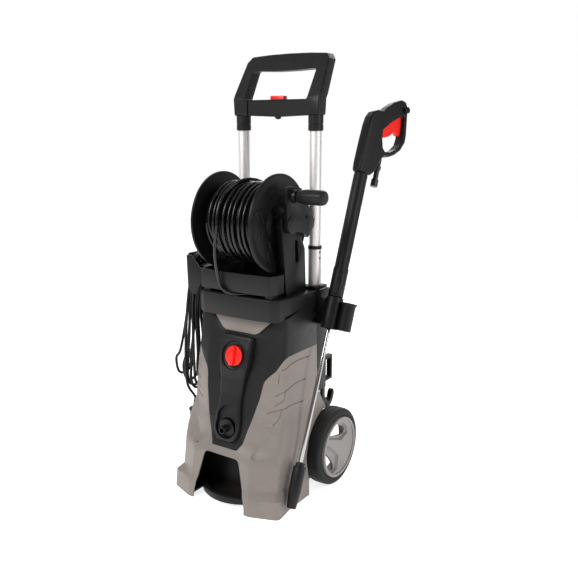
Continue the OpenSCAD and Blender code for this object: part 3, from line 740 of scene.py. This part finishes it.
def make_crank():
    """The crank's arm with its screw holes, and the fluted knob on it."""
    arm = refined("crank_arm", "reel_plastic", 1.8, 3, 35)
    for y, z in ((-46, 741), (-20, 742), (26, 676)):
        boolean(arm, turned("hole", [(0, 115), (3.4, 115), (3.4, 125), (0, 125)],
                            (0, y, z), SIDEWAYS, 24))
    shade(arm)
    stations = [(131, 10.6), (131.6, 11.4), (134, 13.4), (138, 14.4), (150, 16.6), (152, 17),
                (193, 17), (197, 16.6), (200.5, 15.2), (202.4, 13), (203, 10)]
    rings, sides = [], 96
    for x, r in stations:
        flute = 0.9 if 138 <= x <= 197 else 0
        ring = []
        for k in range(sides):
            a = 2 * math.pi * k / sides
            q = r - flute * max(0, math.cos(8 * a)) ** 4
            ring.append((x, KNOB_Y + q * math.cos(a), KNOB_Z + q * math.sin(a)))
        rings.append(ring)
    knob = loft("crank_knob_form", rings)
    boolean(knob, turned("bore", [(0, 120), (5.05, 120), (5.05, 191.5), (0, 191.5)],
                         (0, KNOB_Y, KNOB_Z), SIDEWAYS, 48))
    show(shade(knob, 40), "crank_grip", "grip_plastic", "crank_knob")


for side in (-1, 1):
    make_flange(side)
refined("reel_stand_left", "reel_plastic", 1.8)
refined("reel_stand_right", "reel_plastic", 1.8)
refined("reel_drum", "reel_plastic", 0.6)
make_crank()
refined("cord_hook", "black_frame", 2.0, 3)
refined("strain_relief", "cord_rubber", 0.6)

# ---------- wheels, columns and base ----------

# Pockets round the two windows of the rim, from its centre
POCKETS = [[(-56, 40), (9, 15), (42, 25), (35, 46), (14, 60), (-18, 66), (-42, 55)],
           [(-69, 8), (-58, 27), (-4, -20), (-9, -56), (-30, -61), (-54, -44), (-65, -24)]]


def make_wheel(side):
    """A tyre with two grooves and a rim with pockets sunk round its windows."""
    name = "right" if side > 0 else "left"
    body = "wheel_" + name
    profile = [(76.2, 138), (88, 134), (93, 135.6), (96, 139), (97, 144), (97, 149), (96.2, 149.6),
               (96.2, 151), (97, 151.6), (97, 160.4), (96.2, 161), (96.2, 162.4), (97, 163),
               (97, 168), (96, 173), (93, 176.4), (88, 178), (82, 177.4), (76.2, 176)]
    tyre = turned("tyre_%s_form" % name, profile, (0, AXLE_Y, AXLE_Z), (side, 0, 0), 144)
    show(shade(tyre, 28), body, "tyre_rubber", "tyre_" + name)
    pockets = []
    for outline in POCKETS:
        outline = [(AXLE_Y + y, AXLE_Z + z) for y, z in outline]
        rings = [[(side * x, y, z) for y, z in rounded(inset(outline, d), 4, 4, steady=True)]
                 for x, d in ((174, 3), (181, -1))]
        pockets.append(loft("pocket", rings))
    refined("rim_" + name, "rim_grey", 0.8, 3, 35, cutters=pockets)


for side in (-1, 1):
    make_wheel(side)
refined("wheel_axle", "axle_steel", 0.6)
refined("rear_cover", "black_frame", 1.6)
refined("tube_columns", "black_frame", 1.6)
refined("base_plate", "black_frame", 0.8, 2)
refined("rear_hooks", "black_frame", 1.4)
refined("tube_collars", "black_frame", 0.5, 2)
refined("housing_screws", "screw_steel", 0.4, 2)

# ---------- handle ----------

refined("outer_tubes", "tube_steel", 0.4, 2)
refined("inner_tubes", "tube_steel", 0.4, 2)


def lean_back(thing):
    """Leans the grip back above its lower bar, bending it at that height."""
    edit(thing, lambda bm: bmesh.ops.bisect_plane(
        bm, geom=[*bm.verts, *bm.edges, *bm.faces], plane_co=(0, 0, BEND_Z), plane_no=UPRIGHT))
    for vertex in thing.data.vertices:
        vertex.co.y += BEND_BACK * max(0, vertex.co.z - BEND_Z) / BEND_HEIGHT
    return shade(thing, 32)


def make_handle():
    """The grip's frame in two shells, its sleeves and its button."""
    outside = both_halves([(0, 902), (40, 903.5), (80, 905), (122, 905), (125, 955),
                           (118, 1033), (107, 1047), (60, 1050), (0, 1051)])
    radii = [0, 60, 20, 5, 20, 6, 6, 60, 0]
    outside = rounded(outside, radii + radii[1:-1][::-1], 5)
    grip = pillow("grip", outside, 69, 103, 3.6, across_y, 5)
    opening = rounded(both_halves([(90, 942), (92, 1012), (30, 1009)]), [5, 6, 0, 0, 6, 5])
    boolean(grip, pillow("opening", opening, 64, 108, -7, across_y, 6))
    step = rounded([(-83, 890), (83, 890), (83, BAR_TOP), (-83, BAR_TOP)], 2)
    boolean(grip, prism("step", step, 60, 72.5, across_y))
    knob = [(0, 896), (5, 897), (7.5, 900), (8, 910), (0, 910)]
    boolean(grip, turned("knob", knob, (0, 84, 0), UPRIGHT, 32), "UNION")
    for side in (-1, 1):
        boolean(grip, turned("socket", [(0, 860), (14.2, 860), (14.2, 935.2), (0, 935.2)],
                             (TUBE_X * side, TUBE_Y, 0), UPRIGHT, 48))
    boolean(grip, block("well", -20.2, 20.2, 77.8, 94.2, 918, BUTTON_TOP))
    rear = copy_of(grip, "handle_rear_form")
    boolean(grip, block("front", -150, 150, 40, TUBE_Y - 0.15, 880, 1080), "INTERSECT")
    boolean(rear, block("rear", -150, 150, TUBE_Y + 0.15, 130, 880, 1080), "INTERSECT")
    grip.name = "handle_front_form"
    show(lean_back(grip), "handle", "grip_plastic", "handle_front")
    show(lean_back(rear), "handle", "grip_plastic", "handle_rear")
    sleeve = [(14.1, 870), (17, 870), (17.8, 871), (17.8, 884), (17.1, 884.8), (17.1, 886.4),
              (17.8, 887.2), (17.8, 904.9), (14.1, 904.9)]
    pair = [turned("sleeve", sleeve, (TUBE_X * s, TUBE_Y, 0), UPRIGHT, 64) for s in (-1, 1)]
    show(shade(join("tube_sleeves_form", pair), 30), "handle", "grip_plastic", "tube_sleeves")
    refined("handle_button", "red_plastic", 1.4)


make_handle()

# ---------- gun and lance ----------


def at_lance(x, p, s):
    """A place on the lance: across it, towards the gun's handle, and up it."""
    turn, lean = math.radians(LANCE_TURN), math.radians(LANCE_LEAN)
    x0, y0, z0 = LANCE_FOOT
    side = x * math.cos(turn) + p * math.sin(turn)
    back = p * math.cos(turn) - x * math.sin(turn)
    return Vector((x0 + side, y0 + back * math.cos(lean) + s * math.sin(lean),
                   z0 - back * math.sin(lean) + s * math.cos(lean)))


def across_lance(u, v, w):
    return at_lance(w, u, v)


ALONG = at_lance(0, 0, 1) - at_lance(0, 0, 0)
# Side view of the gun: (towards its handle, up the lance)
GUN_OUTLINE = [(-19, 706), (19, 706), (32, 722), (38, 744), (50, 766), (66, 769), (83, 780),
               (100, 798), (110, 822), (109, 842), (103, 874), (99, 895), (94, 912),
               (86, 921), (72, 921), (51, 907), (33, 888), (20, 871), (4, 869), (-8, 861),
               (-15, 846), (-18, 825), (-20, 780), (-21, 730)]
GUN_HOLE = [(30, 826), (32, 806), (40, 784), (50, 777), (66, 782), (84, 795), (97, 814),
            (99, 832), (97, 852), (94, 870), (92, 880), (84, 884), (54, 856), (36, 834)]
TRIGGER_SLOT = [(13, 850), (13, 832), (20, 818), (32, 811), (60, 840), (92, 866), (93, 880),
                (88, 888), (79, 896), (66, 903), (40, 880), (24, 858)]
TRIGGER = [(17, 842), (20, 829), (30, 818), (42, 811), (60, 821), (75, 838), (84, 832),
           (92, 834), (94, 840), (91, 866), (86, 884), (80, 888), (50, 868), (30, 852)]


def make_gun():
    """The gun's two shells round the trigger, with its inlet and safety button."""
    gun = pillow("gun", rounded(GUN_OUTLINE, 9, 4), -15, 15, 5.4, across_lance, 6)
    hole = rounded(GUN_HOLE, 5, 3)
    boolean(gun, pillow("hole", hole, -16, 16, -4.5, across_lance, 6))
    boolean(gun, prism("slot", TRIGGER_SLOT, -5.5, 5.5, across_lance))
    boolean(gun, turned("button_bore", [(0, -20), (4.6, -20), (4.6, 25), (0, 25)],
                        at_lance(0, 87, 898), at_lance(1, 0, 0) - at_lance(0, 0, 0), 32))
    boolean(gun, turned("inlet_bore", [(0, 690), (6.6, 690), (6.6, 760), (0, 760)],
                        at_lance(0, 48, 0), ALONG, 40))
    left = copy_of(gun, "gun_shell_left_form")
    cut = [(-60, 600), (140, 600), (140, 1000), (-60, 1000)]
    boolean(gun, prism("right", cut, 0.15, 40, across_lance), "INTERSECT")
    boolean(left, prism("left", cut, -40, -0.15, across_lance), "INTERSECT")
    gun.name = "gun_shell_right_form"
    show(shade(gun, 35), "gun", "grip_plastic", "gun_shell_right")
    show(shade(left, 35), "gun", "grip_plastic", "gun_shell_left")
    trigger = pillow("gun_trigger_form", rounded(TRIGGER, 3, 3), -5, 5, 1.6, across_lance)
    show(shade(trigger, 35), "trigger", "red_plastic", "gun_trigger")
    refined("gun_inlet", "fitting_metal", 0.6)
    refined("safety_button", "black_frame", 0.6)


def make_lance():
    """The grooved extension, and the tube, nozzle and holder below it."""
    profile = [(5.1, 350), (13.6, 350), (15, 352), (15, 397), (17.6, 398.6), (18.5, 401),
               (18.5, 424), (17.9, 424.6), (17.9, 426.4), (18.5, 427), (18.5, 467),
               (17.6, 470), (17, 472), (17, 700), (16.2, 705.6), (5.1, 705.6)]
    body = turned("lance_extension_form", profile, at_lance(0, 0, 0), ALONG, 80)
    for turn, s0, s1 in ((24, 486, 668), (204, 486, 668), (320, 404, 462)):
        a = math.radians(turn)
        x, p = 18.6 * math.cos(a), 18.6 * math.sin(a)
        boolean(body, tube("groove", [at_lance(x, p, s0), at_lance(x, p, s1)], 4.6, 16))
    show(bevel(body, 0.5, 2, 50), "gun", "grip_plastic", "lance_extension")
    refined("lance_tube", "lance_steel", 0.4, 2)
    refined("spray_nozzle", "black_panel", 1.2)
    refined("lance_holder", "black_frame", 1.2)


make_gun()
make_lance()

# ---------- everything else keeps its CAD shape ----------

# Pieces made above already stand for their nodes; this gives the rest their material
slot_of = {part["node"]: part["material_slot"] for part in frame["record"]["subparts"]}
for node, thing in frame["nodes"].items():
    thing["slot_name"] = slot_of[node]
    shade(thing, 30)

# ---------- materials ----------


def linear(colour):
    """A colour given as 0 to 255 on a screen, as the renderer's own numbers."""
    return [((c / 255 + 0.055) / 1.055) ** 2.4 if c > 10 else c / 255 / 12.92
            for c in colour] + [1]


def material(name, colour, rough, metal=0.0, shift=0.1, patch=16, spread=0.06, grain=0,
             depth=0.0, stretch=(1, 1, 1), wear=0.0, dust=0.0, coat=0.0, sheen=0.0,
             specular=0.5, brushed=0.0, glow=0.0):
    """A surface whose colour, roughness and relief all vary with the place on the object."""
    made = bpy.data.materials.new(name)
    made.use_nodes = True
    tree = made.node_tree
    tree.nodes.clear()

    def add(kind, **values):
        node = tree.nodes.new("ShaderNode" + kind)  # values name its settings or its sockets
        for key, value in values.items():
            if hasattr(node, key):
                setattr(node, key, value)
            else:
                node.inputs[key.replace("_", " ")].default_value = value
        return node

    def link(a, b):
        tree.links.new(a, b)

    def mix(a, b, factor):
        node = add("Mix", data_type="RGBA")
        for socket, value in ((node.inputs[6], a), (node.inputs[7], b)):
            if isinstance(value, list):
                socket.default_value = value
            else:
                link(value, socket)
        link(factor, node.inputs[0])
        return node.outputs[2]

    def ranged(value, low, high, to_low, to_high):
        node = add("MapRange", From_Min=low, From_Max=high, To_Min=to_low, To_Max=to_high)
        link(value, node.inputs[0])
        return node.outputs[0]

    def times(a, b):
        node = add("Math", operation="MULTIPLY")
        link(a, node.inputs[0])
        link(b, node.inputs[1])
        return node.outputs[0]

    place = add("TexCoord").outputs["Object"]
    along = add("Mapping")
    along.inputs["Scale"].default_value = stretch
    link(place, along.inputs["Vector"])
    cloud = add("TexNoise", Scale=patch, Detail=5.0, Roughness=0.6)
    fine = add("TexNoise", Scale=patch * 7, Detail=6.0, Roughness=0.65)
    for noise in (cloud, fine):
        link(along.outputs[0], noise.inputs["Vector"])
    base = linear(colour)
    dark = [c * (1 - shift) for c in base[:3]] + [1]
    light = [min(1, c * (1 + shift)) for c in base[:3]] + [1]
    shown = mix(dark, light, ranged(cloud.outputs[0], 0.32, 0.68, 0, 1))
    roughness = ranged(fine.outputs[0], 0.3, 0.7, rough - spread, rough + spread)
    if wear:
        edges = add("NewGeometry").outputs["Pointiness"]
        worn = times(ranged(edges, 0.52, 0.6, 0, wear), ranged(fine.outputs[0], 0.4, 0.6, 0, 1))
        shown = mix(shown, [min(1, c * 1.6 + 0.01) for c in base[:3]] + [1], worn)
    if dust:
        facing = add("SeparateXYZ")
        link(add("NewGeometry").outputs["Normal"], facing.inputs[0])
        settled = times(ranged(facing.outputs[2], 0.35, 1, 0, dust),
                        ranged(cloud.outputs[0], 0.35, 0.65, 0.3, 1))
        shown = mix(shown, linear((176, 170, 160)), settled)
    shader = add("BsdfPrincipled", Metallic=metal, Coat_Weight=coat, Sheen_Weight=sheen,
                 Specular_IOR_Level=specular, Anisotropic=brushed,
                 Emission_Strength=glow)
    shader.inputs["Coat Roughness"].default_value = 0.18
    link(shown, shader.inputs["Base Color"])
    link(shown, shader.inputs["Emission Color"])
    link(roughness, shader.inputs["Roughness"])
    if grain:
        pits = add("TexNoise", Scale=grain, Detail=3.0, Roughness=0.55)
        link(along.outputs[0], pits.inputs["Vector"])
        relief = add("Bump", Strength=0.6, Distance=depth)
        link(pits.outputs[0], relief.inputs["Height"])
        link(relief.outputs[0], shader.inputs["Normal"])
    link(shader.outputs[0], add("OutputMaterial").inputs[0])
    return made


LOOKS = {
    "grey_shell": dict(colour=(125, 116, 110), rough=0.5, shift=0.04, grain=1100,
                       depth=0.0001, wear=0.12, dust=0.04),
    "black_panel": dict(colour=(21, 20, 20), rough=0.42, shift=0.12, grain=900,
                        depth=0.0002, wear=0.3, dust=0.03, specular=0.26),
    "black_frame": dict(colour=(14, 13, 13), rough=0.44, shift=0.12, grain=900,
                        depth=0.0002, wear=0.3, dust=0.03, specular=0.24),
    "reel_plastic": dict(colour=(12, 11, 12), rough=0.38, shift=0.12, grain=800,
                         depth=0.0001, wear=0.3, dust=0.03, specular=0.24),
    "grip_plastic": dict(colour=(19, 18, 18), rough=0.46, shift=0.12, grain=1300,
                         depth=0.0001, wear=0.3, dust=0.03, specular=0.26),
    "red_plastic": dict(colour=(240, 30, 18), rough=0.3, shift=0.06, grain=700,
                        depth=0.0001, wear=0.12, coat=0.15),
    "rim_grey": dict(colour=(126, 122, 120), rough=0.44, shift=0.05, grain=900,
                     depth=0.0002, wear=0.25, dust=0.05),
    "tyre_rubber": dict(colour=(26, 25, 25), rough=0.66, shift=0.16, grain=500,
                        depth=0.0005, wear=0.3, dust=0.06, sheen=0.04, specular=0.2),
    "tube_steel": dict(colour=(228, 224, 222), rough=0.5, metal=0.72, shift=0.02,
                       spread=0.03, patch=24, stretch=(1, 1, 0.03)),
    "lance_steel": dict(colour=(172, 170, 168), rough=0.13, metal=1.0, shift=0.02,
                        spread=0.005, patch=24, stretch=(1, 1, 0.08)),
    "axle_steel": dict(colour=(168, 166, 164), rough=0.34, metal=1.0, shift=0.1, grain=900,
                       depth=0.0001),
    "spring_steel": dict(colour=(178, 178, 180), rough=0.26, metal=1.0, shift=0.06,
                         grain=1500, depth=0.00005),
    "pump_metal": dict(colour=(150, 150, 152), rough=0.5, metal=0.9, shift=0.1, grain=500,
                       depth=0.0006),
    "motor_steel": dict(colour=(120, 120, 124), rough=0.4, metal=0.9, shift=0.1, grain=700,
                        depth=0.0002),
    "inlet_plastic": dict(colour=(15, 14, 14), rough=0.4, shift=0.12, grain=800,
                          depth=0.0001, wear=0.3, specular=0.24),
    "fitting_metal": dict(colour=(52, 50, 49), rough=0.34, metal=0.6, shift=0.1,
                          grain=900, depth=0.0001),
    "hose_rubber": dict(colour=(10, 10, 11), rough=0.28, shift=0.14, patch=30, grain=700,
                        depth=0.00003, dust=0.02, specular=0.42),
    "cord_rubber": dict(colour=(13, 13, 13), rough=0.42, shift=0.14, patch=30, grain=900,
                        depth=0.0002, dust=0.02, specular=0.3),
    "screw_steel": dict(colour=(110, 110, 112), rough=0.36, metal=0.9, shift=0.1, grain=900,
                        depth=0.0001),
}
looks = {name: material(name, **values) for name, values in LOOKS.items()}
for thing in scene.objects:
    if thing.type == "MESH":
        slot = pieces.get(thing.name) or thing.get("slot_name")
        if slot:
            thing.data.materials.clear()
            thing.data.materials.append(looks[slot])

# ---------- studio ----------


def area(name, place, target, width, height, power):
    """A soft white light at a place, turned to a target; metres and watts."""
    lamp = bpy.data.lights.new(name, "AREA")
    lamp.shape, lamp.size, lamp.size_y, lamp.energy = "RECTANGLE", width, height, power
    made = bpy.data.objects.new(name, lamp)
    scene.collection.objects.link(made)
    made.location = place
    made.rotation_euler = (Vector(target) - Vector(place)).to_track_quat("-Z", "Y").to_euler()


def make_studio():
    """A sky that is brighter behind the object, three soft lights and a pale floor."""
    world = bpy.data.worlds.new("studio")
    scene.world = world
    world.use_nodes = True
    tree = world.node_tree
    tree.nodes.clear()
    way = tree.nodes.new("ShaderNodeTexCoord")
    dot = tree.nodes.new("ShaderNodeVectorMath")
    dot.operation = "DOT_PRODUCT"
    dot.inputs[1].default_value = (-0.55, 0.81, 0.1)
    spread = tree.nodes.new("ShaderNodeMapRange")
    for key, value in (("From Min", 0.2), ("From Max", 0.8), ("To Min", 0.22), ("To Max", 1)):
        spread.inputs[key].default_value = value
    sky = tree.nodes.new("ShaderNodeBackground")
    out = tree.nodes.new("ShaderNodeOutputWorld")
    tree.links.new(way.outputs["Generated"], dot.inputs[0])
    tree.links.new(dot.outputs["Value"], spread.inputs[0])
    tree.links.new(spread.outputs[0], sky.inputs["Strength"])
    tree.links.new(sky.outputs[0], out.inputs[0])
    sky.inputs["Color"].default_value = (1, 1, 1, 1)
    area("key", (-0.9, -2.4, 2.3), (0, 0, 0.5), 1.2, 1.2, 66)
    area("side", (2.6, 0.1, 1.4), (0, 0, 0.5), 0.5, 1.8, 26)
    area("back", (-0.6, 2.4, 2.2), (0, 0, 0.6), 1.6, 1.2, 26)
    floor = block("floor", -6000, 6000, -6000, 6000, -20, 0)
    paper = material("floor_paper", (246, 246, 246), 0.8, shift=0.01, patch=2, grain=300,
                     depth=0.0002, glow=0.85)
    floor.data.materials.append(paper)
    scene.view_settings.view_transform = "Standard"
    scene.view_settings.look = "None"


make_studio()
